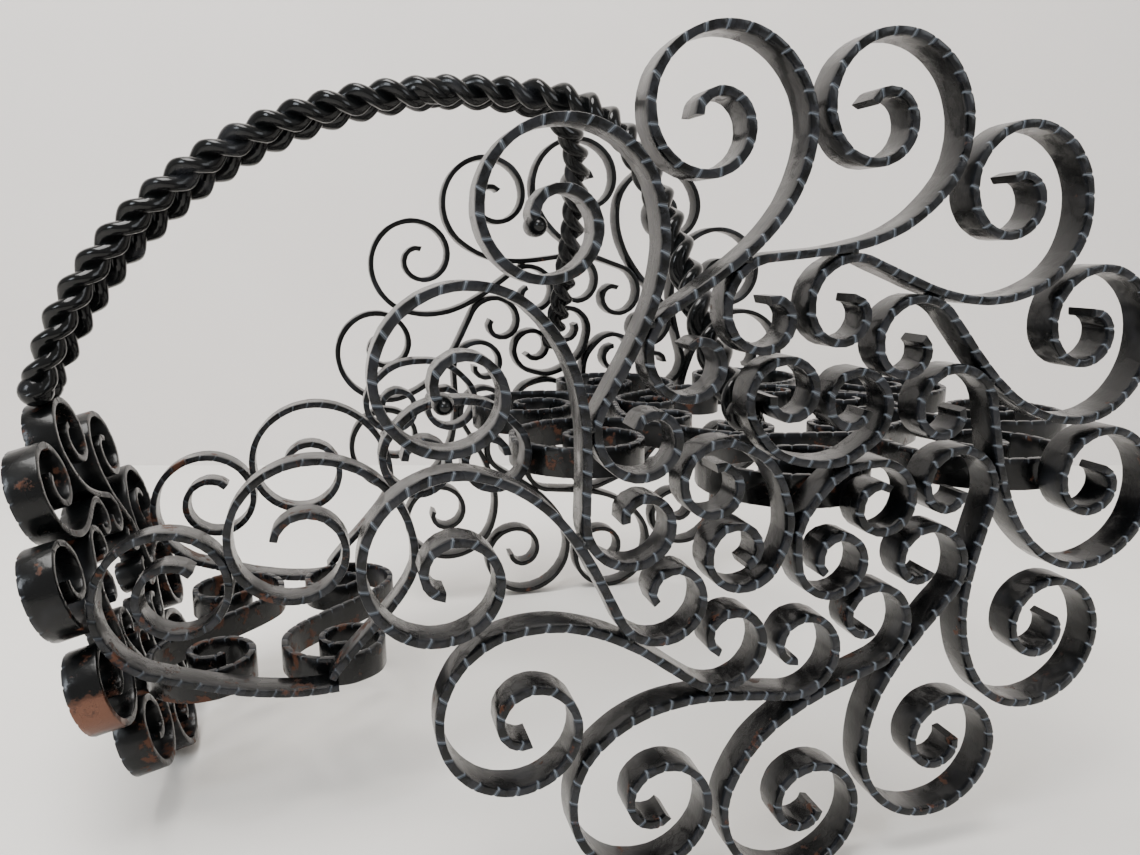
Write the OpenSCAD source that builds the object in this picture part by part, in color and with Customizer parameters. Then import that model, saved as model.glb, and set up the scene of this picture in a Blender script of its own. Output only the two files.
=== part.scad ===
// Scrollwork carrying basket of flat iron strip, bent on edge and welded where the scrolls touch.
// X runs along the basket (the small end panel is at -X), Y across it, Z up from the surface it stands on.

/* [Strip] */
// Width of the flat strip, which is also the depth of every scroll panel
strip_w = 10; // [9:0.5:10.5]
// Thickness of the flat strip
strip_t = 2.4; // [2:0.1:2.6]

/* [Side rosettes] */
// Scrolls in each large side rosette
side_count = 13; // [13:1:13]
// Distance from the middle of the basket to the middle plane of a side rosette
side_y = 117; // [117:1:121]
// Height of the centre of the side rosettes above the floor
side_z = 117.9; // [117.8:0.1:124]
// Distance of the side rosettes' centre from the middle of the whole basket
side_x = 29.5; // [24:0.1:40]

/* [End rosette] */
// Scrolls in the small end rosette
end_count = 10; // [10:1:10]
// Distance of the end rosette's centre in front of the side rosettes' centre
end_reach = 196; // [195.5:0.5:200]
// Height of the end rosette's centre above the floor
end_z = 65.9; // [65.7:0.1:68]
// Outward lean of the end rosette
end_lean = 15; // [8:1:18]

/* [Trough walls] */
// Distance from the middle of the basket to the middle plane of a trough wall
wall_y = 52; // [51:0.5:53]

/* [Tray] */
// Scrolls in the level tray
tray_count = 8; // [8:1:8]
// Height of the tray's underside above the floor
tray_z = 107.6; // [104:0.1:110]
// Distance of the tray's centre behind the side rosettes' centre
tray_back = 47.5; // [47.5:0.5:49]

/* [Handle] */
// Diameter over the twist of each handle bar
bar_d = 9.6; // [9:0.2:10]
// Height of the weld where the two bars meet, above the side rosettes' centre
handle_rise = 115; // [105:1:120]

/* [Hidden] */
iron = [0.05, 0.052, 0.058];
// Angular steps in a full curl, in a small curl and along a stem
big_steps = 34;
small_steps = 22;
stem_steps = 10;
ring_sides = 10;
gap = 0.3;
side_pitch = 360 / side_count;
// How much lower the far rosette hangs, so that its own lowest curl meets the floor
far_drop = 2;
end_pitch = 360 / end_count;
tray_pitch = 360 / tray_count;
heart_count = 3;
side_names = [for (i = [1:side_count]) i];

// A spiral about c whose radius shrinks in ratio from r0 at angle a0 to r1 at angle a1.
// It shrinks evenly when k is 1, and faster towards its eye when k is more.
function curl(c, r0, r1, a0, a1, n, k = 1) = [
    for (i = [0:n])
        let (f = i / n, a = a0 + (a1 - a0) * f, r = r0 * pow(r1 / r0, pow(f, k)))
        [c[0] + r * cos(a), c[1] + r * sin(a)]
];

// Direction of travel at angle a, with turn 1 for anticlockwise and -1 for clockwise
function heading(a, turn) = turn * [-sin(a), cos(a)];

// Inside points of the smooth stem that leaves p along u and reaches q along v
function stem(p, u, q, v, n) = [
    for (i = [1:n - 1])
        let (f = i / n, g = 1 - f)
        g * g * g * p + 3 * g * g * f * (p + u) + 3 * g * f * f * (q - v) + f * f * f * q
];

function reversed(list) = [for (i = [len(list) - 1:-1:0]) list[i]];

// Centre line of an S-scroll: outer curl, stem and inner curl.
// A curl is [centre, first radius, last radius, first angle, last angle, stem handle length].
function s_line(outer, inner) =
    let (
        a = curl(outer[0], outer[1], outer[2], outer[3], outer[4], big_steps, tighten),
        b = curl(inner[0], inner[1], inner[2], inner[3], inner[4], small_steps, tighten),
        u = -outer[5] * heading(outer[3], sign(outer[4] - outer[3])),
        v = inner[5] * heading(inner[3], sign(inner[4] - inner[3]))
    )
    concat(reversed(a), stem(a[0], u, b[0], v, stem_steps), b);

// Unit normal of a centre line at point i
function line_normal(line, i) =
    let (
        d = line[min(i + 1, len(line) - 1)] - line[max(i - 1, 0)],
        m = norm(d)
    )
    [-d[1] / m, d[0] / m];

// Flat outline of a strip that stands on edge along a centre line
function strip_outline(line) = concat(
    [for (i = [0:len(line) - 1]) line[i] + line_normal(line, i) * strip_t / 2],
    [for (i = [len(line) - 1:-1:0]) line[i] - line_normal(line, i) * strip_t / 2]
);

tighten = 1.25;
side_outer = [[-5.5, 96], 26, 4.8, -20, 515, 23];
side_inner = [[-22.5, 40.7], 14.5, 4, 110, 470, 19];
end_outer = [[-2.7, 52], 16.3, 4.6, -20, 440, 15.5];
end_inner = [[-11.4, 20.2], 7.4, 3.6, 110, 380, 11];
tray_outer = [[-5.5, 91.6], 31.2, 6, -20, 515, 30.5];
tray_inner = [[-23.4, 38], 15.2, 4.6, 110, 480, 28];
// Trough wall: corner curl, and the curl beside it, both running down to a shared foot
corner_curl = [[-168.3, -39], 26, 8, 250, -310, 24];
corner_foot = [-122.5, -74.2];
corner_run = 18 * [1, 0.08];
wall_curl = [[-131.4, -27.5], 35, 8.5, -15, 520, 12];
wall_foot = [-124.4, -71];
wall_run = 10 * [-0.5, -0.86];
// Trough floor: one S from wall to wall, the same curl at each end
floor_reach = wall_y - strip_w / 2 - strip_t / 2 - gap;
floor_eye = floor_reach - 16.3;
floor_curl_a = [[0, floor_eye], 20, 4.4, -20, 500, 17];
floor_curl_b = [[0, -floor_eye], 20, 4.4, 160, 680, 17];
floor_z = -73.5;
floor_x = [-162.5, -120.2];
// How far the far bar dips inside the curve of the near one on the way up
bar_inset = 2.6;
heart_back = 5.9;
heart_eye = [9.7, 23];
heart_first = 12;
heart_last = 5;
crest_at = [-83.5, 2.4];
crest_scale = 1.1;

// One half of a heart, from the middle of its back to the eye of its curl
function heart_half() =
    let (
        c = curl(heart_eye, heart_first, heart_last, -45, 350, small_steps),
        u = [11, 0],
        v = 7 * heading(-45, 1)
    )
    concat([[0, heart_back]], stem([0, heart_back], u, c[0], v, stem_steps), c);

function heart_line() =
    let (half = heart_half(), last = len(half) - 1)
    concat([for (i = [last:-1:1]) [-half[i][0], half[i][1]]], half);

// The same heart with its back upwards, for the crest between a trough wall and the tray
function crest_line() =
    [for (p = heart_line()) crest_at + crest_scale * [-p[0], 18 - p[1]]];

// A curl that runs out into a plain foot
function foot_line(big, foot, run) =
    let (
        a = curl(big[0], big[1], big[2], big[3], big[4], big_steps),
        u = -big[5] * heading(big[3], sign(big[4] - big[3]))
    )
    concat(reversed(a), stem(a[0], u, foot, run, stem_steps), [foot]);

module strip(line) {
    color(iron)
        linear_extrude(height = strip_w, center = true, convexity = 10)
            polygon(strip_outline(line));
}

// Stands a flat panel up at the near side, facing -Y
module near_place(y) {
    translate([side_x, -y, side_z])
        rotate([90, 0, 0])
            children();
}

// The same panel turned half round to the far side, facing +Y
module far_place(y) {
    translate([side_x, y, side_z - far_drop])
        rotate([90, 0, 180])
            children();
}

module side_scroll(turn) {
    rotate(turn)
        strip(s_line(side_outer, side_inner));
}

module side_heart(turn) {
    rotate(turn)
        strip(heart_line());
}

// The near rosette has a curl straight down; the far rosette has one straight up
module near_scroll(i) {
    near_place(side_y)
        side_scroll(180 - side_pitch * (i - 1));
}

module far_scroll(i) {
    far_place(side_y)
        side_scroll(-side_pitch * (i - 1));
}

module near_heart(i) {
    near_place(side_y)
        side_heart(-10 - 120 * (i - 1));
}

module far_heart(i) {
    far_place(side_y)
        side_heart(-30 - 120 * (i - 1));
}

module end_scroll(i) {
    translate([side_x - end_reach, 0, end_z])
        rotate([0, -end_lean, 0])
            rotate([90, 0, -90])
                rotate(180 - end_pitch * (i - 1))
                    strip(s_line(end_outer, end_inner));
}

module tray_scroll(i) {
    translate([side_x + tray_back, 0, tray_z + strip_w / 2])
        rotate(tray_pitch * (i - 0.5))
            strip(s_line(tray_outer, tray_inner));
}

// Trough walls: the far one mirrors the near one across the length of the basket
module wall_piece(line, side) {
    translate([side_x, side * wall_y, side_z])
        rotate([90, 0, 0])
            strip(line);
}

// Trough floor, lying flat between the two walls
module floor_scroll(i) {
    translate([side_x + floor_x[i - 1], 0, side_z + floor_z])
        strip(s_line(floor_curl_a, floor_curl_b));
}

// Smooth curve through hand-chosen points
function blend(a, b, c, d, f) =
    0.5 * (2 * b + (c - a) * f + (2 * a - 5 * b + 4 * c - d) * f * f + (3 * b - a - 3 * c + d) * f * f * f);

function smooth(p, n) =
    let (last = len(p) - 1)
    concat(
        [
            for (i = [0:last - 1])
                for (k = [0:n - 1])
                    blend(p[max(i - 1, 0)], p[i], p[i + 1], p[min(i + 2, last)], k / n)
        ],
        [p[last]]
    );

// Route of one handle bar, from the end rosette over the top and down to a side rosette,
// measured from the side rosettes' centre; side is -1 for near and 1 for far
function bar_route(side) =
    let (in = side > 0 ? bar_inset : 0)
    [
        [-213, side * 5.2, 15.3],
        [-203 + in, side * 5.2, 40 - in / 2],
        [-187 + in, side * 5.2, 63 - in],
        [-165 + in, side * 5.2, 84 - in],
        [-139 + in / 2, side * 5.2, 100 - in],
        [-110, side * 5.1, handle_rise - 5 - in / 2],
        [-82, side * 4.75, handle_rise - 0.5],
        [-54, side * 6.5, handle_rise],
        [-33, side * 15, handle_rise - 4],
        [-21, side * 31, handle_rise - 17],
        [-16, side * 52, handle_rise - 39],
        [-14, side * 73, handle_rise - 64],
        [-13, side * 91, handle_rise - 84],
        [-12, side * (side_y - strip_w / 2 - 2.9), handle_rise - 98]
    ];

// Round bar swept along a path, with its end faces closed
module round_bar(path, d) {
    n = len(path);
    points = [
        for (i = [0:n - 1])
            let (
                t = path[min(i + 1, n - 1)] - path[max(i - 1, 0)],
                s = cross(t, [0, 1, 0]),
                u = s / norm(s),
                w = cross(u, t) / norm(cross(u, t))
            )
            for (k = [0:ring_sides - 1])
                path[i] + d / 2 * (cos(360 * k / ring_sides) * u + sin(360 * k / ring_sides) * w)
    ];
    walls = [
        for (i = [0:n - 2])
            for (k = [0:ring_sides - 1])
                let (m = (k + 1) % ring_sides)
                [i * ring_sides + k, (i + 1) * ring_sides + k, (i + 1) * ring_sides + m, i * ring_sides + m]
    ];
    first = [for (k = [0:ring_sides - 1]) k];
    last = [for (k = [ring_sides - 1:-1:0]) (n - 1) * ring_sides + k];
    polyhedron(points, concat([first], walls, [last]), convexity = 6);
}

module handle_bar(side) {
    color(iron)
        translate([side_x, 0, side_z])
            round_bar(smooth(bar_route(side), 3), bar_d);
}

for (i = side_names) {
    near_scroll(i);
    far_scroll(i);
}
for (i = [1:heart_count]) {
    near_heart(i);
    far_heart(i);
}
for (i = [1:end_count])
    end_scroll(i);
for (i = [1:tray_count])
    tray_scroll(i);
wall_piece(foot_line(corner_curl, corner_foot, corner_run), -1);  // near_corner_scroll
wall_piece(foot_line(wall_curl, wall_foot, wall_run), -1);  // near_wall_scroll
wall_piece(crest_line(), -1);  // near_crest_heart
wall_piece(foot_line(corner_curl, corner_foot, corner_run), 1);  // far_corner_scroll
wall_piece(foot_line(wall_curl, wall_foot, wall_run), 1);  // far_wall_scroll
wall_piece(crest_line(), 1);  // far_crest_heart
floor_scroll(1);  // floor_scroll_1
floor_scroll(2);  // floor_scroll_2
handle_bar(-1);  // handle_bar_near
handle_bar(1);  // handle_bar_far
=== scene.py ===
"""Scrollwork carrying basket: every strip and bar of the frame, its paint, and the stage.

Lengths in the shape tables are millimetres, measured from the side rosettes' centre where not said otherwise.
"""

import math

import bmesh
import bpy
from bpy.props import FloatProperty, FloatVectorProperty, IntProperty, PointerProperty
from mathutils import Matrix, Vector


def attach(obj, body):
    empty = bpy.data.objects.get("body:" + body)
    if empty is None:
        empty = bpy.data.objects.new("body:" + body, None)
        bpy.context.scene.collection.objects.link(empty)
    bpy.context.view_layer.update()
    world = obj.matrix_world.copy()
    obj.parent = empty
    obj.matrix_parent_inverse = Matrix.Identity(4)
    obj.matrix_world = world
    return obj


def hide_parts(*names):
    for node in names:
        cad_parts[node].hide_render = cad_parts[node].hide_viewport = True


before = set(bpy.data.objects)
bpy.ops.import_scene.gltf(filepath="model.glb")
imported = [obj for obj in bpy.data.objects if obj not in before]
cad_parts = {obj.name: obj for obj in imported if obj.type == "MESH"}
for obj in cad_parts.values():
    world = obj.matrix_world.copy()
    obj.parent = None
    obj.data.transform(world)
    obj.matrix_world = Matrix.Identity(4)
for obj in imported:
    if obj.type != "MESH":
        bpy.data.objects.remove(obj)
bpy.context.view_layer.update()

bl_info = {
    "name": "Scrollwork Basket",
    "version": (1, 0, 0),
    "blender": (4, 5, 0),
    "location": "View3D > Sidebar > Basket",
    "description": "Builds a wrought iron scrollwork basket, its paint and its stage",
    "category": "Object",
}

MM = 0.001

# How many scrolls or hearts each pattern has
SIDE_COUNT = 13
END_COUNT = 10
TRAY_COUNT = 8
HEART_COUNT = 3

# Centre of the side rosettes in the frame; every other part of the basket is placed from it
SIDE_X = 29.5
SIDE_Y = 117.0
SIDE_Z = 117.9

# How much lower the far rosette hangs, the end rosette's distance, height and lean, half the width between
# the trough's walls, and the tray's height and distance
FAR_DROP = 2.0
END_REACH = 196.0
END_Z = 65.9
END_LEAN = 15.0
WALL_Y = 52.0
TRAY_Z = 107.6
TRAY_BACK = 47.5

# How much faster a curl shrinks towards its eye
TIGHTEN = 1.25

# A curl is centre, first radius, last radius, first angle, last angle, length of the stem's handle
SIDE_OUTER = ((-5.5, 96.0), 26.0, 4.8, -20, 515, 23.0)
SIDE_INNER = ((-22.5, 40.7), 14.5, 4.0, 110, 470, 19.0)
END_OUTER = ((-2.7, 52.0), 16.3, 4.6, -20, 440, 15.5)
END_INNER = ((-11.4, 20.2), 7.4, 3.6, 110, 380, 11.0)
TRAY_OUTER = ((-5.5, 91.6), 31.2, 6.0, -20, 515, 30.5)
TRAY_INNER = ((-23.4, 38.0), 15.2, 4.6, 110, 480, 28.0)
CORNER_CURL = ((-168.3, -39.0), 26.0, 8.0, 250, -310, 24.0)
CORNER_FOOT = ((-122.5, -74.2), (18.0, 1.44))
WALL_CURL = ((-131.4, -27.5), 35.0, 8.5, -15, 520, 12.0)
WALL_FOOT = ((-124.4, -71.0), (-5.0, -8.6))
# The floor scrolls' eyes stand in from the walls by half a strip's width and half its thickness, a small gap
# and the reach of the curl
HALF_WIDTH = 5.0
HALF_THICK = 1.2
FLOOR_GAP = 0.3
FLOOR_REACH = 16.3
FLOOR_EYE = WALL_Y - HALF_WIDTH - HALF_THICK - FLOOR_GAP - FLOOR_REACH
FLOOR_A = ((0.0, FLOOR_EYE), 20.0, 4.4, -20, 500, 17.0)
FLOOR_B = ((0.0, -FLOOR_EYE), 20.0, 4.4, 160, 680, 17.0)
FLOOR_Z = -73.5
FLOOR_X = (-162.5, -120.2)
HEART_EYE = (9.7, 23.0)
HEART_BACK = 5.9
HEART_RADII = (12.0, 5.0)
HEART_SPAN = (-45, 350)
CREST_AT = (-83.5, 2.4)
CREST_SCALE = 1.1
CREST_TURNED_ABOUT = 18

# The handle's route over the basket; the second number takes the side's sign, and the last two are the
# shares of the inset by which the far bar dips inside the near one on the way up
BAR_INSET = 2.6
BAR_ROUTE = (
    (-213, 5.2, 15.3, 0, 0),
    (-203, 5.2, 40, 1, 0.5),
    (-187, 5.2, 63, 1, 1),
    (-165, 5.2, 84, 1, 1),
    (-139, 5.2, 100, 0.5, 1),
    (-110, 5.1, 110, 0, 0.5),
    (-82, 4.75, 114.5, 0, 0),
    (-54, 6.5, 115, 0, 0),
    (-33, 15, 111, 0, 0),
    (-21, 31, 98, 0, 0),
    (-16, 52, 76, 0, 0),
    (-14, 73, 51, 0, 0),
    (-13, 91, 31, 0, 0),
    (-12, 109.1, 17, 0, 0),
)

# Half the width of a nick, in metres, and how far it slants across the strip's edge
NICK_HALF = 0.0005
NICK_SLANT = 0.35

# Depths below the strip's front edge, in metres: a ring of corners that keeps the cuts shallow, and the band
# that counts as front for the paint
CUT_RING = 0.0019
FRONT_BAND = 0.0012

# Closer corners than this are one corner when lengths of a strip are joined, in metres
JOIN_WITHIN = 0.00003

# Forging marks: size in metres, and the share of their height that sinks in
FORGE_SCALE = 0.0085
FORGE_MIDDLE = 0.62

# Edges sharper than this stay sharp, in degrees
STRIP_CREASE = 38
ROPE_CREASE = 60

# The two curls of the near rosette that end in a forged bead
BEADED = ("near_scroll_5", "near_scroll_6")

# Welds and the bead on a strip: height over the strip's middle in millimetres, radius in metres, and stretch
SIDE_WELD = (1.0, 0.0019, (1.0, 1.0, 2.3))
BEAD = (0.6, 0.0027, (1.0, 1.0, 2.3))
END_WELD = (0.5, 0.0018, (1.0, 1.0, 2.4))
TRAY_WELD = (0.6, 0.0018, (1.0, 1.0, 2.3))

# Welds on a handle bar: point of its route, radius in metres, and stretch
ROPE_WELDS = (
    (1, 0.0052, (1.05, 0.95, 1.0)),
    (72, 0.0046, (1.9, 0.9, 0.95)),
    (-2, 0.0052, (1.0, 0.9, 1.0)),
)
ROPE_SIDES = 16
ROUTE_STEPS = 12

# Camera, in metres and degrees, and the distance from it to the backdrop
CAMERA_AT = (-0.0916, -0.3285, 0.1794)
CAMERA_TILT = 78.8
CAMERA_YAW = -15.2
CAMERA_LENS = 28.4
WALL_DISTANCE = 0.741

# Floor and backdrop: side in metres, and the height of the backdrop's middle
SURFACE_SIDE = 8
WALL_MIDDLE = 3.9
SKY_STRENGTH = 0.8

# Soft lights: name, place, target, size, share of the key light's power, colour
LIGHTS = (
    ("overhead", (-0.35, -0.15, 1.25), (0, 0, 0.1), (0.75, 0.5), 1.0, (1.0, 0.985, 0.96)),
    ("window", (-1.1, -0.75, 0.75), (-0.05, 0, 0.1), (0.35, 0.6), 0.5, (0.86, 0.93, 1.0)),
    ("fill", (0.9, -0.9, 0.8), (0.05, 0, 0.12), (0.5, 0.7), 0.25, (0.9, 0.95, 1.0)),
)


class BasketStrip(bpy.types.PropertyGroup):
    """Sizes of the flat strip and of the nicks cut across its outer edge"""

    width: FloatProperty(name="Strip width",
                         description="Width of the flat strip, which is the depth of a panel",
                         default=0.010, min=0.006, max=0.02, unit="LENGTH")
    thickness: FloatProperty(name="Strip thickness", description="Thickness of the flat strip",
                             default=0.0024, min=0.001, max=0.005, unit="LENGTH")
    round: FloatProperty(name="Worn corner", description="Rounding along the strip's long corners",
                         default=0.00045, min=0.0001, max=0.001, unit="LENGTH")
    nick_pitch: FloatProperty(name="Nick spacing",
                              description="Distance from one cut across the edge to the next",
                              default=0.0056, min=0.003, max=0.012, unit="LENGTH")
    nick_depth: FloatProperty(name="Nick depth", description="Depth of the cuts across the outer edge",
                              default=0.0005, min=0.0, max=0.002, unit="LENGTH")
    hammer: FloatProperty(name="Hammering", description="Height of the uneven forging over the strip",
                          default=0.00035, min=0.0, max=0.001, unit="LENGTH")


class BasketRope(bpy.types.PropertyGroup):
    """Sizes of a twisted handle bar"""

    rod: FloatProperty(name="Rod radius", description="Radius of each of the two rods twisted together",
                       default=0.0031, min=0.001, max=0.005, unit="LENGTH")
    offset: FloatProperty(name="Rod offset", description="Distance from the bar's middle to a rod's middle",
                          default=0.0022, min=0.001, max=0.005, unit="LENGTH")
    pitch: FloatProperty(name="Twist length", description="Length of the bar over which the rods turn once",
                         default=0.0205, min=0.008, max=0.05, unit="LENGTH")
    steps: IntProperty(name="Steps in a turn", description="Rings modelled in each full turn of the twist",
                       default=22, min=8, max=64)


class BasketPaint(bpy.types.PropertyGroup):
    """Colours of the finish"""

    paint: FloatVectorProperty(name="Paint", description="Black gloss paint where it lies thick",
                               subtype="COLOR", size=3, min=0, max=1, default=(0.0022, 0.0026, 0.0028))
    paler_paint: FloatVectorProperty(name="Worn paint", description="The same paint where it is thin over the iron",
                              subtype="COLOR", size=3, min=0, max=1, default=(0.014, 0.015, 0.018))
    rust: FloatVectorProperty(name="Rust", description="Rust that shows through the paint",
                              subtype="COLOR", size=3, min=0, max=1, default=(0.085, 0.032, 0.016))
    bare: FloatVectorProperty(name="Bare patch", description="Coppery metal where the paint is rubbed off",
                              subtype="COLOR", size=3, min=0, max=1, default=(0.12, 0.06, 0.042))


class BasketStage(bpy.types.PropertyGroup):
    """Floor, backdrop and light"""

    floor: FloatVectorProperty(name="Floor", description="Colour of the table top",
                               subtype="COLOR", size=3, min=0, max=1, default=(0.87, 0.845, 0.805))
    wall: FloatVectorProperty(name="Backdrop", description="Colour of the wall behind",
                              subtype="COLOR", size=3, min=0, max=1, default=(0.79, 0.755, 0.73))
    key: FloatProperty(name="Key light", description="Power of the large soft light",
                       default=19.0, min=0.0, max=200.0, unit="POWER")


# ---------------------------------------------------------------- centre lines

def spiral(curl, steps, tighten=1.0):
    """Points of a curl, outside first; it shrinks faster towards the eye when tighten is over 1."""
    centre, first, last, start, end, _handle = curl
    points = []
    for i in range(steps + 1):
        part = i / steps
        angle = math.radians(start + (end - start) * part)
        radius = first * (last / first) ** part ** tighten
        points.append(Vector((centre[0] + radius * math.cos(angle), centre[1] + radius * math.sin(angle))))
    return points


def heading(degrees, turn):
    """Direction of travel at an angle of a circle; turn is 1 for anticlockwise and -1 for clockwise."""
    angle = math.radians(degrees)
    return Vector((-math.sin(angle), math.cos(angle))) * turn


def turn_of(curl):
    """Which way a curl winds: 1 for anticlockwise and -1 for clockwise."""
    return 1 if curl[4] > curl[3] else -1


def stem(p, u, q, v, steps):
    """Inside points of the smooth stem that leaves p along u and reaches q along v."""
    points = []
    for i in range(1, steps):
        f = i / steps
        g = 1 - f
        points.append(g ** 3 * p + 3 * g * g * f * (p + u) + 3 * g * f * f * (q - v) + f ** 3 * q)
    return points


def s_line(outer, inner, fine=1.0):
    """Centre line of an S-scroll, from the eye of its outer curl to the eye of its inner one."""
    a = spiral(outer, int(130 * fine), TIGHTEN)
    b = spiral(inner, int(90 * fine), TIGHTEN)
    u = heading(outer[3], turn_of(outer)) * -outer[5]
    v = heading(inner[3], turn_of(inner)) * inner[5]
    return a[::-1] + stem(a[0], u, b[0], v, int(34 * fine)) + b


def foot_line(curl, foot):
    """Centre line of a curl that runs out into a plain foot."""
    a = spiral(curl, 140)
    u = heading(curl[3], turn_of(curl)) * -curl[5]
    end = Vector(foot[0])
    return a[::-1] + stem(a[0], u, end, Vector(foot[1]), 40) + [end]


def heart_line():
    """Centre line of a heart, from the eye of one curl over its back to the eye of the other."""
    curl = (HEART_EYE, *HEART_RADII, *HEART_SPAN, 0)
    c = spiral(curl, 90)
    back = Vector((0, HEART_BACK))
    half = [back] + stem(back, Vector((11, 0)), c[0], heading(HEART_SPAN[0], 1) * 7, 24) + c
    return [Vector((-p.x, p.y)) for p in half[:0:-1]] + half


def crest_line():
    """The same heart with its back upwards."""
    return [Vector((CREST_AT[0] - CREST_SCALE * p.x, CREST_AT[1] + CREST_SCALE * (CREST_TURNED_ABOUT - p.y)))
            for p in heart_line()]


def length_of(line):
    """Length of a centre line."""
    return sum((b - a).length for a, b in zip(line, line[1:]))


def weld_point(line, degrees):
    """Where a centre line comes nearest to its own copy turned about the rosette's centre."""
    copy = [Matrix.Rotation(math.radians(degrees), 2) @ p for p in line]
    pairs = ((p, q) for p in line[::3] for q in copy[::3])
    p, q = min(pairs, key=lambda pair: (pair[0] - pair[1]).length_squared)
    return (p + q) / 2


# ---------------------------------------------------------------- modelling helpers

def only(obj):
    """Selects one object alone and makes it the active one."""
    bpy.ops.object.select_all(action="DESELECT")
    obj.select_set(True)
    bpy.context.view_layer.objects.active = obj


def pick(obj, kind, wanted):
    """In edit mode, selects the vertices, edges or faces whose middle passes the wanted test."""
    bpy.ops.mesh.select_mode(type=kind)
    bpy.ops.mesh.select_all(action="DESELECT")
    mesh = bmesh.from_edit_mesh(obj.data)
    if kind == "VERT":
        for vert in mesh.verts:
            vert.select_set(wanted(vert.co))
    elif kind == "EDGE":
        for edge in mesh.edges:
            edge.select_set(all(wanted(v.co) for v in edge.verts)
                            and abs(edge.verts[0].co.x - edge.verts[1].co.x) > 1e-6)
    else:
        for face in mesh.faces:
            face.select_set(wanted(face.calc_center_median()))
    mesh.select_flush_mode()
    bmesh.update_edit_mesh(obj.data)


def apply_modifiers(obj):
    """Applies an object's modifiers in their order."""
    only(obj)
    for modifier in list(obj.modifiers):
        bpy.ops.object.modifier_apply(modifier=modifier.name)


def close_ends():
    """Closes the active object's open ends and turns its faces outward."""
    bpy.ops.object.mode_set(mode="EDIT")
    bpy.ops.mesh.select_all(action="SELECT")
    bpy.ops.mesh.fill_holes(sides=64)
    bpy.ops.mesh.select_all(action="SELECT")
    bpy.ops.mesh.normals_make_consistent(inside=False)
    bpy.ops.object.mode_set(mode="OBJECT")


def hand_over(obj, slot, node, crease):
    """Smooths a finished piece, paints it and gives it to the frame in place of its solid."""
    only(obj)
    bpy.ops.object.shade_smooth_by_angle(angle=math.radians(crease))
    obj.data.materials.clear()
    obj.data.materials.append(finish(slot))
    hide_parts(node)
    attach(obj, "root")


def guide(name, points, flat):
    """A curve that a strip or bar is bent along."""
    data = bpy.data.curves.new(name, "CURVE")
    data.dimensions = "2D" if flat else "3D"
    spline = data.splines.new("POLY")
    spline.points.add(len(points) - 1)
    for target, point in zip(spline.points, points):
        target.co = (*[c * MM for c in point], 0, 1) if flat else (*[c * MM for c in point], 1)
    if not flat:
        data.twist_mode = "Z_UP"
    obj = bpy.data.objects.new(name, data)
    bpy.context.scene.collection.objects.link(obj)
    return obj


def mark_front(obj, half_w, pitch):
    """Notes for the paint which corners lie on the strip's front band, and which of them in the cut, where
    the painted highlight goes.
    """
    corners = obj.data.vertices
    front = [v.co.z > half_w - FRONT_BAND for v in corners]
    in_cut = [abs(v.co.x - NICK_SLANT * v.co.y - pitch / 2) < NICK_HALF / 2 for v in corners]
    for name, marks in (("front", front), ("nick", [a and b for a, b in zip(in_cut, front)])):
        attribute = obj.data.attributes.new(name, "FLOAT", "POINT")
        attribute.data.foreach_set("value", [float(mark) for mark in marks])


def strip_piece(name, line, settings):
    """A nicked flat strip bent along a centre line: one short length, repeated, then bent."""
    length = length_of(line) * MM
    count = max(4, round(length / settings.nick_pitch))
    pitch = length / count
    half_t = settings.thickness / 2
    half_w = settings.width / 2
    bpy.ops.object.select_all(action="DESELECT")
    bpy.ops.mesh.primitive_cube_add(size=1, location=(pitch / 2, 0, 0))
    obj = bpy.context.active_object
    obj.name = name
    obj.scale = (pitch, settings.thickness, settings.width)
    bpy.ops.object.transform_apply(location=True, rotation=True, scale=True)
    bpy.ops.object.mode_set(mode="EDIT")
    for x in (-NICK_HALF, 0, NICK_HALF):
        bpy.ops.mesh.select_all(action="SELECT")
        bpy.ops.mesh.bisect(plane_co=(pitch / 2 + x, 0, 0), plane_no=(1, -NICK_SLANT, 0))
    bpy.ops.mesh.select_all(action="SELECT")
    bpy.ops.mesh.bisect(plane_co=(0, 0, half_w - CUT_RING), plane_no=(0, 0, 1))
    pick(obj, "VERT", lambda co: abs(co.x - NICK_SLANT * co.y - pitch / 2) < 1e-5 and co.z > half_w - 1e-5)
    bpy.ops.transform.translate(value=(0, 0, -settings.nick_depth))
    pick(obj, "FACE", lambda co: co.x < 1e-6 or co.x > pitch - 1e-6)
    bpy.ops.mesh.delete(type="FACE")
    pick(obj, "EDGE", lambda co: abs(abs(co.y) - half_t) < 1e-6
         and (co.z < -half_w + 1e-5 or co.z > half_w - settings.nick_depth - 1e-5))
    bpy.ops.mesh.bevel(offset=settings.round, segments=2, affect="EDGES")
    bpy.ops.object.mode_set(mode="OBJECT")
    mark_front(obj, half_w, pitch)
    array = obj.modifiers.new("Repeat", "ARRAY")
    array.count = count
    array.use_relative_offset = False
    array.use_constant_offset = True
    array.constant_offset_displace = (pitch, 0, 0)
    array.use_merge_vertices = True
    array.merge_threshold = JOIN_WITHIN
    path = guide(name + "_guide", line, True)
    bend = obj.modifiers.new("Bend", "CURVE")
    bend.object = path
    bend.deform_axis = "POS_X"
    apply_modifiers(obj)
    bpy.data.objects.remove(path)
    close_ends()
    return obj


def add_lump(obj, place, radius, stretch):
    """Joins a small forged or welded lump to a strip or bar; its place is in millimetres."""
    bpy.ops.object.select_all(action="DESELECT")
    bpy.ops.mesh.primitive_ico_sphere_add(subdivisions=3, radius=radius,
                                          location=(place[0] * MM, place[1] * MM, place[2] * MM))
    lump = bpy.context.active_object
    lump.scale = stretch
    bpy.ops.object.transform_apply(location=True, rotation=True, scale=True)
    only(obj)
    lump.select_set(True)
    bpy.ops.object.join()


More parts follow.
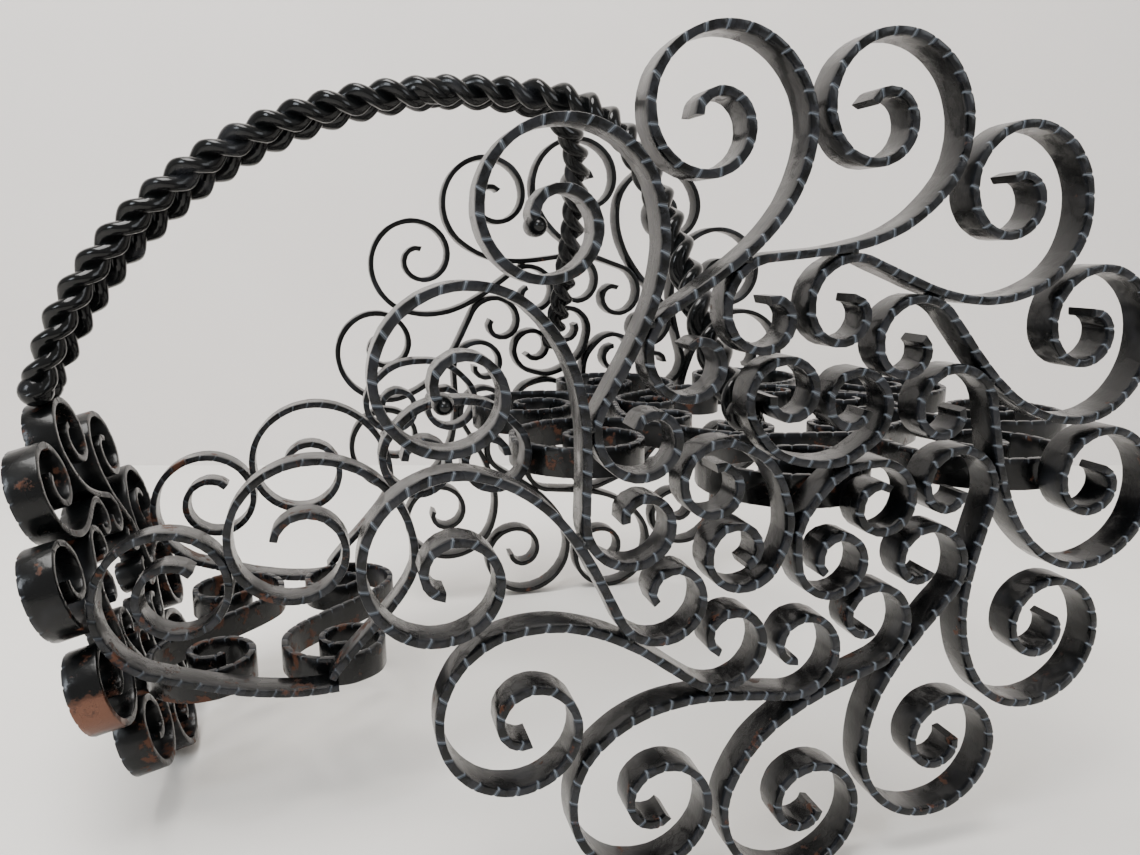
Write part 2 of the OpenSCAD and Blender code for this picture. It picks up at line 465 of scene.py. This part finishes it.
def place_copy(template, name, matrix, slot, settings, node):
    """A copy with its own mesh, set in place, forged uneven and handed to the frame."""
    obj = bpy.data.objects.new(name, template.data.copy())
    bpy.context.scene.collection.objects.link(obj)
    obj.matrix_world = matrix
    only(obj)
    bpy.ops.object.transform_apply(location=True, rotation=True, scale=True)
    if settings.hammer > 0:
        texture = bpy.data.textures.get("Forging") or bpy.data.textures.new("Forging", "CLOUDS")
        texture.noise_scale = FORGE_SCALE
        texture.noise_depth = 1
        forge = obj.modifiers.new("Forge", "DISPLACE")
        forge.texture = texture
        forge.texture_coords = "LOCAL"
        forge.strength = settings.hammer
        forge.mid_level = FORGE_MIDDLE
        apply_modifiers(obj)
    hand_over(obj, slot, node, STRIP_CREASE)


def drop(obj):
    """Removes a template that has been copied."""
    mesh = obj.data
    bpy.data.objects.remove(obj)
    bpy.data.meshes.remove(mesh)


def turned(degrees, axis):
    """A turn about an axis."""
    return Matrix.Rotation(math.radians(degrees), 4, axis)


def moved(x, y, z):
    """A move, in millimetres."""
    return Matrix.Translation((x * MM, y * MM, z * MM))


# ---------------------------------------------------------------- finishes

def linear(code):
    """An sRGB hex colour as linear values."""
    values = [int(code[i:i + 2], 16) / 255 for i in (1, 3, 5)]
    return tuple(v / 12.92 if v <= 0.04045 else ((v + 0.055) / 1.055) ** 2.4 for v in values)


def add(tree, kind, at=(0, 0), **values):
    """Adds a node. A value is a property, an input's constant, or another node's output to link from."""
    node = tree.nodes.new(kind)
    node.location = at
    for key, value in values.items():
        if hasattr(node, key) and key not in node.inputs:
            setattr(node, key, value)
            continue
        name = key.replace("_", " ")
        socket = node.inputs[int(key[1:])] if key[0] == "i" and key[1:].isdigit() else node.inputs[name]
        if isinstance(value, bpy.types.NodeSocket):
            tree.links.new(value, socket)
        else:
            socket.default_value = value
    return node


def ramp(tree, source, low, high, at):
    """Fades from 0 at low to 1 at high."""
    node = add(tree, "ShaderNodeMapRange", at, i0=source, i1=low, i2=high)
    node.interpolation_type = "SMOOTHSTEP"
    return node.outputs[0]


def mix(tree, factor, a, b, at):
    """Mixes two colours, each a colour of its own or another node's output."""
    a, b = (value if isinstance(value, bpy.types.NodeSocket) else (*value[:3], 1) for value in (a, b))
    return add(tree, "ShaderNodeMix", at, data_type="RGBA", i0=factor, i6=a, i7=b).outputs[2]


def maths(tree, operation, a, b, at):
    """One step of arithmetic on two values."""
    return add(tree, "ShaderNodeMath", at, operation=operation, i0=a, i1=b).outputs[0]


# How each slot differs: the noise level above which it rusts, roughness, scale of the dents, strength of the
# relief, and how strong the highlight painted on the cuts across the edge is
SLOTS = {
    "side_strip": {"rust": 0.66, "rough": 0.24, "dent": 260.0, "bump": 0.2, "painted_glint": 0.6},
    "trough_strip": {"rust": 0.61, "rough": 0.27, "dent": 220.0, "bump": 0.22, "painted_glint": 0.25},
    "rope_bar": {"rust": 0.74, "rough": 0.16, "dent": 330.0, "bump": 0.15, "painted_glint": 0.0},
}
FINISH_NAMES = {
    "side_strip": "black_gloss_paint_on_nicked_iron",
    "trough_strip": "worn_black_paint_on_flat_iron",
    "rope_bar": "thick_black_enamel_on_twisted_rod",
}
# Where a curl of the end rosette is rubbed to bare coppery metal, in millimetres
BARE_AT = (-160.0, -63.0, 46.0)


def finish(slot):
    """Brush-painted black iron: uneven gloss, paler front edges, a painted highlight on the cuts across the
    edge, and rust that grows near the table.
    """
    name = FINISH_NAMES[slot]
    if name in bpy.data.materials:
        return bpy.data.materials[name]
    colours = bpy.context.scene.basket_paint
    look = SLOTS[slot]
    material = bpy.data.materials.new(name)
    material.use_nodes = True
    tree = material.node_tree
    tree.nodes.clear()
    place = add(tree, "ShaderNodeTexCoord", (-1400, 0)).outputs["Object"]
    # Brush marks and dents
    dents = add(tree, "ShaderNodeTexNoise", (-1150, 200), Vector=place, Scale=look["dent"], Detail=3.0,
                Roughness=0.55).outputs[0]
    runs = add(tree, "ShaderNodeTexNoise", (-1150, -50), Vector=place, Scale=75.0, Detail=2.0).outputs[0]
    grain = add(tree, "ShaderNodeTexNoise", (-1150, -300), Vector=place, Scale=900.0, Detail=2.0).outputs[0]
    # A paler bluish black along the front edge where the strip was cut across, in dent-shaped patches, and in
    # broad patches of the brush-run noise anywhere
    front = add(tree, "ShaderNodeAttribute", (-1150, -550), attribute_name="front").outputs["Fac"]
    paler = maths(tree, "MULTIPLY", front, ramp(tree, dents, 0.38, 0.62, (-900, -550)), (-700, -550))
    paler = maths(tree, "MAXIMUM", paler, ramp(tree, runs, 0.55, 0.78, (-900, -750)), (-500, -600))
    base = mix(tree, paler, colours.paint, colours.paler_paint, (-250, 100))
    # Painted highlight: a silver-blue glint painted on the cuts across the edge, standing in for the light
    # they catch
    cut = add(tree, "ShaderNodeAttribute", (-1150, -750), attribute_name="nick").outputs["Fac"]
    painted_glint = maths(tree, "MULTIPLY", cut, front, (-800, -800))
    painted_glint = maths(tree, "MULTIPLY", painted_glint, look["painted_glint"], (-600, -800))
    base = mix(tree, painted_glint, base, linear("#7f8893"), (-120, 100))
    # Rust in patches, more of it low down
    patches = add(tree, "ShaderNodeTexNoise", (-1150, -950), Vector=place, Scale=120.0, Detail=6.0,
                  Roughness=0.68).outputs[0]
    height = add(tree, "ShaderNodeSeparateXYZ", (-1150, -1150), i0=place).outputs[2]
    low = add(tree, "ShaderNodeMapRange", (-900, -1150), i0=height, i1=0.0, i2=0.14, i3=0.075,
              i4=0.0).outputs[0]
    rusty = maths(tree, "ADD", patches, low, (-700, -950))
    rusty = ramp(tree, rusty, look["rust"], look["rust"] + 0.07, (-500, -950))
    base = mix(tree, maths(tree, "MULTIPLY", rusty, 0.8, (-350, -950)), base, colours.rust, (0, 0))
    # One curl rubbed through to coppery metal
    gap = add(tree, "ShaderNodeVectorMath", (-900, -1350), operation="DISTANCE", i0=place,
              i1=tuple(c * MM for c in BARE_AT)).outputs["Value"]
    near = add(tree, "ShaderNodeMapRange", (-700, -1350), i0=gap, i1=0.006, i2=0.019, i3=0.2,
               i4=-0.35).outputs[0]
    bare = ramp(tree, maths(tree, "ADD", near, patches, (-500, -1350)), 0.5, 0.62, (-300, -1350))
    base = mix(tree, bare, base, colours.bare, (250, 0))
    # Gloss: glassy where thick, dull on rust
    rough = add(tree, "ShaderNodeMapRange", (0, -300), i0=runs, i1=0.3, i2=0.75, i3=look["rough"] - 0.07,
                i4=look["rough"] + 0.12).outputs[0]
    rough = maths(tree, "ADD", rough, maths(tree, "MULTIPLY", rusty, 0.3, (0, -500)), (250, -300))
    coat = maths(tree, "SUBTRACT", 0.12, maths(tree, "MAXIMUM", rusty, bare, (250, -600)), (450, -500))
    # Relief of dents, brush grain and rust
    relief = maths(tree, "ADD", dents, maths(tree, "MULTIPLY", grain, 0.18, (0, 400)), (200, 400))
    relief = maths(tree, "ADD", relief, maths(tree, "MULTIPLY", rusty, 0.5, (200, 600)), (400, 400))
    bump = add(tree, "ShaderNodeBump", (600, 300), Strength=look["bump"], Distance=0.0006, Height=relief)
    shader = add(tree, "ShaderNodeBsdfPrincipled", (850, 0), Base_Color=base, Roughness=rough,
                 Coat_Weight=maths(tree, "MAXIMUM", coat, 0.0, (600, -500)), Coat_Roughness=0.06,
                 Specular_IOR_Level=0.2, Metallic=maths(tree, "MULTIPLY", bare, 0.75, (600, -150)),
                 Normal=bump.outputs[0])
    add(tree, "ShaderNodeOutputMaterial", (1150, 0), Surface=shader.outputs[0])
    return material


# ---------------------------------------------------------------- operators

def panel_near(turn):
    """Place of a near rosette piece, turned in the rosette's plane."""
    return moved(SIDE_X, -SIDE_Y, SIDE_Z) @ turned(90, "X") @ turned(turn, "Z")


def panel_far(turn):
    """Place of a far rosette piece, turned in the rosette's plane."""
    return moved(SIDE_X, SIDE_Y, SIDE_Z - FAR_DROP) @ turned(180, "Z") @ turned(90, "X") @ turned(turn, "Z")


class BASKET_OT_side_scrolls(bpy.types.Operator):
    """Build the scrolls of both large side rosettes"""

    bl_idname = "basket.side_scrolls"
    bl_label = "Side Rosette Scrolls"

    def execute(self, context):
        settings = context.scene.basket_strip
        line = s_line(SIDE_OUTER, SIDE_INNER)
        plain = strip_piece("side_template", line, settings)
        pitch = 360 / SIDE_COUNT
        weld = weld_point(line, pitch)
        add_lump(plain, (*weld, SIDE_WELD[0]), *SIDE_WELD[1:])
        beaded = bpy.data.objects.new("beaded_template", plain.data.copy())
        context.scene.collection.objects.link(beaded)
        add_lump(beaded, (*line[0], BEAD[0]), *BEAD[1:])
        for i in range(SIDE_COUNT):
            near = f"near_scroll_{i + 1}"
            source = beaded if near in BEADED else plain
            place_copy(source, near + "_strip", panel_near(180 - pitch * i), "side_strip", settings, near)
            far = f"far_scroll_{i + 1}"
            place_copy(plain, far + "_strip", panel_far(-pitch * i), "side_strip", settings, far)
        drop(plain)
        drop(beaded)
        return {"FINISHED"}


class BASKET_OT_side_hearts(bpy.types.Operator):
    """Build the hearts at the middle of both side rosettes"""

    bl_idname = "basket.side_hearts"
    bl_label = "Side Rosette Hearts"

    def execute(self, context):
        settings = context.scene.basket_strip
        template = strip_piece("heart_template", heart_line(), settings)
        for i in range(HEART_COUNT):
            near = f"near_heart_{i + 1}"
            place_copy(template, near + "_strip", panel_near(-10 - 120 * i), "side_strip", settings, near)
            far = f"far_heart_{i + 1}"
            place_copy(template, far + "_strip", panel_far(-30 - 120 * i), "side_strip", settings, far)
        drop(template)
        return {"FINISHED"}


class BASKET_OT_end_rosette(bpy.types.Operator):
    """Build the small leaning rosette at the end"""

    bl_idname = "basket.end_rosette"
    bl_label = "End Rosette"

    def execute(self, context):
        settings = context.scene.basket_strip
        line = s_line(END_OUTER, END_INNER, 0.8)
        template = strip_piece("end_template", line, settings)
        pitch = 360 / END_COUNT
        weld = weld_point(line, pitch)
        add_lump(template, (*weld, END_WELD[0]), *END_WELD[1:])
        upright = turned(-90, "Z") @ turned(90, "X")
        base = moved(SIDE_X - END_REACH, 0, END_Z) @ turned(-END_LEAN, "Y") @ upright
        for i in range(END_COUNT):
            node = f"end_scroll_{i + 1}"
            place_copy(template, node + "_strip", base @ turned(180 - pitch * i, "Z"), "trough_strip",
                       settings, node)
        drop(template)
        return {"FINISHED"}


class BASKET_OT_trough(bpy.types.Operator):
    """Build the trough's two walls and its floor"""

    bl_idname = "basket.trough"
    bl_label = "Trough"

    def execute(self, context):
        settings = context.scene.basket_strip
        walls = {
            "corner_scroll": foot_line(CORNER_CURL, CORNER_FOOT),
            "wall_scroll": foot_line(WALL_CURL, WALL_FOOT),
            "crest_heart": crest_line(),
        }
        for part, line in walls.items():
            template = strip_piece(part + "_template", line, settings)
            for side, sign in (("near", -1), ("far", 1)):
                node = f"{side}_{part}"
                place_copy(template, node + "_strip", moved(SIDE_X, sign * WALL_Y, SIDE_Z) @ turned(90, "X"),
                           "trough_strip", settings, node)
            drop(template)
        template = strip_piece("floor_template", s_line(FLOOR_A, FLOOR_B), settings)
        for i, x in enumerate(FLOOR_X):
            node = f"floor_scroll_{i + 1}"
            place_copy(template, node + "_strip", moved(SIDE_X + x, 0, SIDE_Z + FLOOR_Z), "trough_strip",
                       settings, node)
        drop(template)
        return {"FINISHED"}


class BASKET_OT_tray(bpy.types.Operator):
    """Build the level tray between the side rosettes"""

    bl_idname = "basket.tray"
    bl_label = "Tray"

    def execute(self, context):
        settings = context.scene.basket_strip
        line = s_line(TRAY_OUTER, TRAY_INNER)
        pitch = 360 / TRAY_COUNT
        weld = weld_point(line, pitch)
        base = moved(SIDE_X + TRAY_BACK, 0, TRAY_Z + settings.width / MM / 2)
        for i in range(TRAY_COUNT):
            turn = Matrix.Rotation(math.radians(pitch * (i + 0.5)), 2)
            bent = [turn @ p for p in (*line, weld)]
            template = strip_piece("tray_template", bent[:-1], settings)
            add_lump(template, (*bent[-1], TRAY_WELD[0]), *TRAY_WELD[1:])
            node = f"tray_scroll_{i + 1}"
            place_copy(template, node + "_strip", base, "trough_strip", settings, node)
            drop(template)
        return {"FINISHED"}


def smooth_route(side):
    """The handle's route on one side, as an even smooth curve."""
    inset = BAR_INSET if side > 0 else 0
    marks = [Vector((SIDE_X + x + inset * right, side * y, SIDE_Z + z - inset * down))
             for x, y, z, right, down in BAR_ROUTE]
    points = []
    for i in range(len(marks) - 1):
        a, b, c, d = marks[max(i - 1, 0)], marks[i], marks[i + 1], marks[min(i + 2, len(marks) - 1)]
        for k in range(ROUTE_STEPS):
            f = k / ROUTE_STEPS
            points.append(0.5 * (2 * b + (c - a) * f + (2 * a - 5 * b + 4 * c - d) * f * f
                                 + (3 * b - a - 3 * c + d) * f ** 3))
    points.append(marks[-1])
    return points


class BASKET_OT_handle(bpy.types.Operator):
    """Build the two twisted handle bars"""

    bl_idname = "basket.handle"
    bl_label = "Twisted Handle"

    def execute(self, context):
        rope = context.scene.basket_rope
        for side, node in ((-1, "handle_bar_near"), (1, "handle_bar_far")):
            route = smooth_route(side)
            length = length_of(route) * MM
            turns = length / rope.pitch
            rods = []
            for k in (1, -1):
                bpy.ops.object.select_all(action="DESELECT")
                bpy.ops.mesh.primitive_circle_add(vertices=ROPE_SIDES, radius=rope.rod, fill_type="NGON",
                                                  location=(k * rope.offset, 0, 0))
                rod = bpy.context.active_object
                bpy.ops.object.transform_apply(location=True, rotation=True, scale=True)
                bpy.ops.object.mode_set(mode="EDIT")
                bpy.ops.mesh.select_all(action="SELECT")
                bpy.ops.mesh.delete(type="ONLY_FACE")
                bpy.ops.object.mode_set(mode="OBJECT")
                twist = rod.modifiers.new("Twist", "SCREW")
                twist.axis = "Z"
                twist.angle = math.tau * turns * -side
                twist.screw_offset = length
                twist.steps = twist.render_steps = int(rope.steps * turns)
                twist.use_normal_calculate = True
                apply_modifiers(rod)
                close_ends()
                rods.append(rod)
            only(rods[0])
            rods[1].select_set(True)
            bpy.ops.object.join()
            bar = bpy.context.active_object
            bar.name = node + "_rope"
            path = guide(node + "_guide", route, False)
            bend = bar.modifiers.new("Bend", "CURVE")
            bend.object = path
            bend.deform_axis = "POS_Z"
            apply_modifiers(bar)
            bpy.data.objects.remove(path)
            for mark, radius, stretch in ROPE_WELDS:
                add_lump(bar, route[mark], radius, stretch)
            hand_over(bar, "rope_bar", node, ROPE_CREASE)
        return {"FINISHED"}


def plain_surface(name, colour, rough):
    """A plain painted surface with a little unevenness."""
    material = bpy.data.materials.new(name)
    material.use_nodes = True
    tree = material.node_tree
    tree.nodes.clear()
    place = add(tree, "ShaderNodeTexCoord", (-700, 0)).outputs["Object"]
    cloud = add(tree, "ShaderNodeTexNoise", (-500, 0), Vector=place, Scale=6.0, Detail=2.0).outputs[0]
    patch = ramp(tree, cloud, 0.3, 0.7, (-300, -100))
    shade = mix(tree, patch, tuple(c * 0.97 for c in colour), colour, (-100, 0))
    shader = add(tree, "ShaderNodeBsdfPrincipled", (150, 0), Base_Color=shade, Roughness=rough)
    add(tree, "ShaderNodeOutputMaterial", (450, 0), Surface=shader.outputs[0])
    return material


def soft_light(name, place, target, size, power, colour):
    """Adds a large soft light that faces its target."""
    data = bpy.data.lights.new(name, "AREA")
    data.shape = "RECTANGLE"
    data.size, data.size_y = size
    data.energy = power
    data.color = colour
    obj = bpy.data.objects.new(name, data)
    obj.location = place
    obj.rotation_euler = (Vector(target) - Vector(place)).to_track_quat("-Z", "Y").to_euler()
    bpy.context.scene.collection.objects.link(obj)


class BASKET_OT_stage(bpy.types.Operator):
    """Set the floor, the backdrop, the lights and the camera"""

    bl_idname = "basket.stage"
    bl_label = "Stage"

    def execute(self, context):
        scene = context.scene
        look = scene.basket_stage
        yaw = math.radians(CAMERA_YAW)
        ahead = Vector((-math.sin(yaw), math.cos(yaw), 0))
        back = Vector(CAMERA_AT) + ahead * WALL_DISTANCE
        bpy.ops.object.select_all(action="DESELECT")
        bpy.ops.mesh.primitive_plane_add(size=SURFACE_SIDE, location=(0, 0, 0))
        floor = bpy.context.active_object
        floor.name = "table_top"
        floor.data.materials.append(plain_surface("white_laminate", look.floor, 0.55))
        bpy.ops.object.select_all(action="DESELECT")
        bpy.ops.mesh.primitive_plane_add(size=SURFACE_SIDE, location=(back.x, back.y, WALL_MIDDLE),
                                         rotation=(math.radians(90), 0, yaw))
        wall = bpy.context.active_object
        wall.name = "backdrop"
        wall.data.materials.append(plain_surface("matt_grey_wall", look.wall, 0.9))
        for name, place, target, size, share, colour in LIGHTS:
            soft_light(name, place, target, size, look.key * share, colour)
        world = scene.world or bpy.data.worlds.new("World")
        scene.world = world
        world.use_nodes = True
        sky = world.node_tree.nodes.get("Background")
        sky.inputs[0].default_value = (*linear("#e9e6e2"), 1)
        sky.inputs[1].default_value = SKY_STRENGTH
        data = bpy.data.cameras.new("view")
        data.lens = CAMERA_LENS
        data.sensor_width = 36
        data.clip_start = 0.01
        camera = bpy.data.objects.new("view", data)
        camera.location = CAMERA_AT
        camera.rotation_euler = (math.radians(CAMERA_TILT), 0, yaw)
        scene.collection.objects.link(camera)
        scene.camera = camera
        return {"FINISHED"}


class BASKET_PT_panel(bpy.types.Panel):
    """Sidebar panel with the sizes, the colours and the steps of the build"""

    bl_idname = "BASKET_PT_panel"
    bl_label = "Scrollwork Basket"
    bl_space_type = "VIEW_3D"
    bl_region_type = "UI"
    bl_category = "Basket"

    def draw(self, context):
        layout = self.layout
        for name in ("basket_strip", "basket_rope", "basket_paint", "basket_stage"):
            group = getattr(context.scene, name)
            box = layout.box()
            for key in group.__annotations__:
                box.prop(group, key)
        for operator in OPERATORS:
            layout.operator(operator.bl_idname)


GROUPS = {
    "basket_strip": BasketStrip,
    "basket_rope": BasketRope,
    "basket_paint": BasketPaint,
    "basket_stage": BasketStage,
}
OPERATORS = (
    BASKET_OT_side_scrolls,
    BASKET_OT_side_hearts,
    BASKET_OT_end_rosette,
    BASKET_OT_trough,
    BASKET_OT_tray,
    BASKET_OT_handle,
    BASKET_OT_stage,
)
CLASSES = (*GROUPS.values(), *OPERATORS, BASKET_PT_panel)


def register():
    for cls in CLASSES:
        bpy.utils.register_class(cls)
    for name, group in GROUPS.items():
        setattr(bpy.types.Scene, name, PointerProperty(type=group))


def unregister():
    for name in GROUPS:
        delattr(bpy.types.Scene, name)
    for cls in reversed(CLASSES):
        bpy.utils.unregister_class(cls)


def main():
    register()
    bpy.ops.basket.side_scrolls()
    bpy.ops.basket.side_hearts()
    bpy.ops.basket.end_rosette()
    bpy.ops.basket.trough()
    bpy.ops.basket.tray()
    bpy.ops.basket.handle()
    bpy.ops.basket.stage()


if __name__ == "__main__":
    main()
